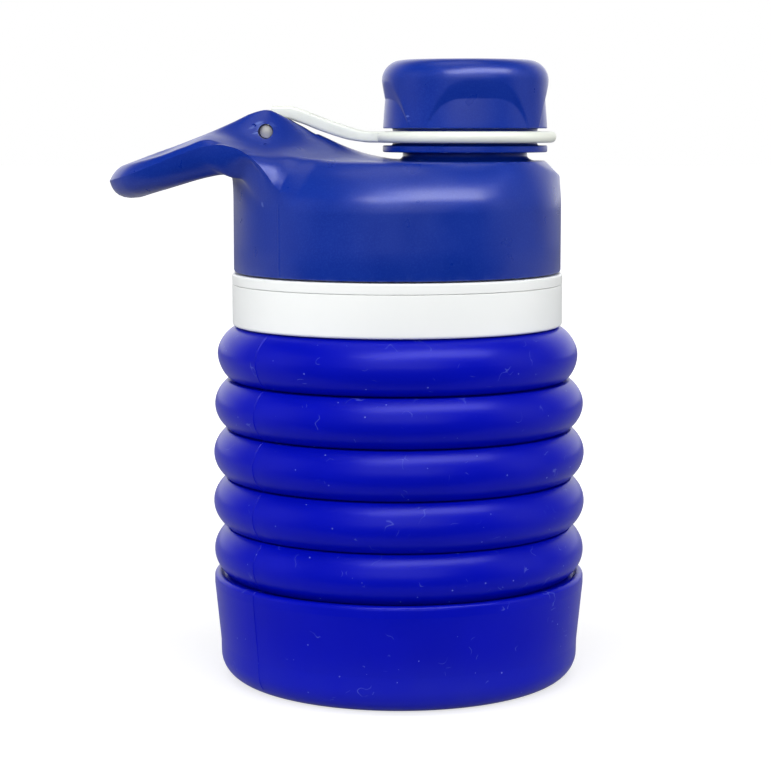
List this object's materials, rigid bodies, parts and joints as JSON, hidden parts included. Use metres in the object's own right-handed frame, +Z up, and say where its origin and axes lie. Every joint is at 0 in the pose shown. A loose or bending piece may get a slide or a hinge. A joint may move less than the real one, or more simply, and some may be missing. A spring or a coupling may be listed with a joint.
{
  "type": "collapsible water bottle",
  "caption": "Collapsible silicone water bottle, folded down: ringed bellows body, clamped neck, screw lid with a loop handle and a small tethered spout cap.",
  "frame": {"origin": "middle of the base's underside", "axes": "+Z up the bottle's axis, -X towards the loop handle, +X towards the spout"},
  "size_m": [0.1015, 0.0798, 0.1321],
  "materials": {
    "body_silicone": "satin royal blue silicone",
    "white_plastic": "satin white plastic",
    "lid_plastic": "satin navy plastic",
    "seal_silicone": "matte translucent white silicone",
    "pin_steel": "brushed"
  },
  "bodies": {
    "base": {"base_cup": "body_silicone", "fold_1": "body_silicone"},
    "ring_1": {"bellows_ring_1": "body_silicone", "fold_2": "body_silicone"},
    "ring_2": {"bellows_ring_2": "body_silicone", "fold_3": "body_silicone"},
    "ring_3": {"bellows_ring_3": "body_silicone", "fold_4": "body_silicone"},
    "ring_4": {"bellows_ring_4": "body_silicone", "fold_5": "body_silicone"},
    "neck": {"bellows_ring_5": "body_silicone", "clamp_collar": "white_plastic", "neck_insert": "white_plastic"},
    "lid_seal": {"lid_gasket": "seal_silicone"},
    "lid": {"lid_shell": "lid_plastic", "hinge_pin": "pin_steel"},
    "tether": {"tether_strap": "white_plastic"},
    "cap_ring": {"tether_ring": "white_plastic"},
    "cap": {"spout_cap": "lid_plastic", "cap_seal": "seal_silicone"}
  },
  "joints": [
    {"name": "fold_1_opens", "type": "slide", "parent": "base", "child": "ring_1", "axis": [0, 0, 1], "range_m": [0, 0.0095], "deforming": ["fold_1"]},
    {"name": "fold_2_opens", "type": "slide", "parent": "ring_1", "child": "ring_2", "axis": [0, 0, 1], "range_m": [0, 0.0095], "deforming": ["fold_2"]},
    {"name": "fold_3_opens", "type": "slide", "parent": "ring_2", "child": "ring_3", "axis": [0, 0, 1], "range_m": [0, 0.0095], "deforming": ["fold_3"]},
    {"name": "fold_4_opens", "type": "slide", "parent": "ring_3", "child": "ring_4", "axis": [0, 0, 1], "range_m": [0, 0.0095], "deforming": ["fold_4"]},
    {"name": "fold_5_opens", "type": "slide", "parent": "ring_4", "child": "neck", "axis": [0, 0, 1], "range_m": [0, 0.0095], "deforming": ["fold_5"]},
    {"name": "lid_lift", "type": "slide", "parent": "neck", "child": "lid_seal", "axis": [0, 0, 1], "range_m": [0, 0.01]},
    {"name": "lid_turn", "type": "hinge", "parent": "lid_seal", "child": "lid", "pos_m": [0, 0, 0.0988], "axis": [0, 0, 1], "range_deg": [0, 720]},
    {"name": "tether_swing", "type": "hinge", "parent": "lid", "child": "tether", "pos_m": [-0.02745, 0, 0.1172], "axis": [0, -1, 0], "range_deg": [0, 115]},
    {"name": "cap_lift", "type": "slide", "parent": "tether", "child": "cap_ring", "axis": [0, 0, 1], "range_m": [0, 0.0045]},
    {"name": "cap_turn", "type": "hinge", "parent": "cap_ring", "child": "cap", "pos_m": [0.0144, 0, 0.116], "axis": [0, 0, 1], "range_deg": [0, 540]}
  ],
  "couplings": [
    {"joint": "fold_2_opens", "follows": "fold_1_opens", "ratio": 1},
    {"joint": "fold_3_opens", "follows": "fold_1_opens", "ratio": 1},
    {"joint": "fold_4_opens", "follows": "fold_1_opens", "ratio": 1},
    {"joint": "fold_5_opens", "follows": "fold_1_opens", "ratio": 1},
    {"joint": "lid_lift", "follows": "lid_turn", "m_per_rad": 0.00079577},
    {"joint": "cap_lift", "follows": "cap_turn", "m_per_rad": 0.00047746}
  ]
}
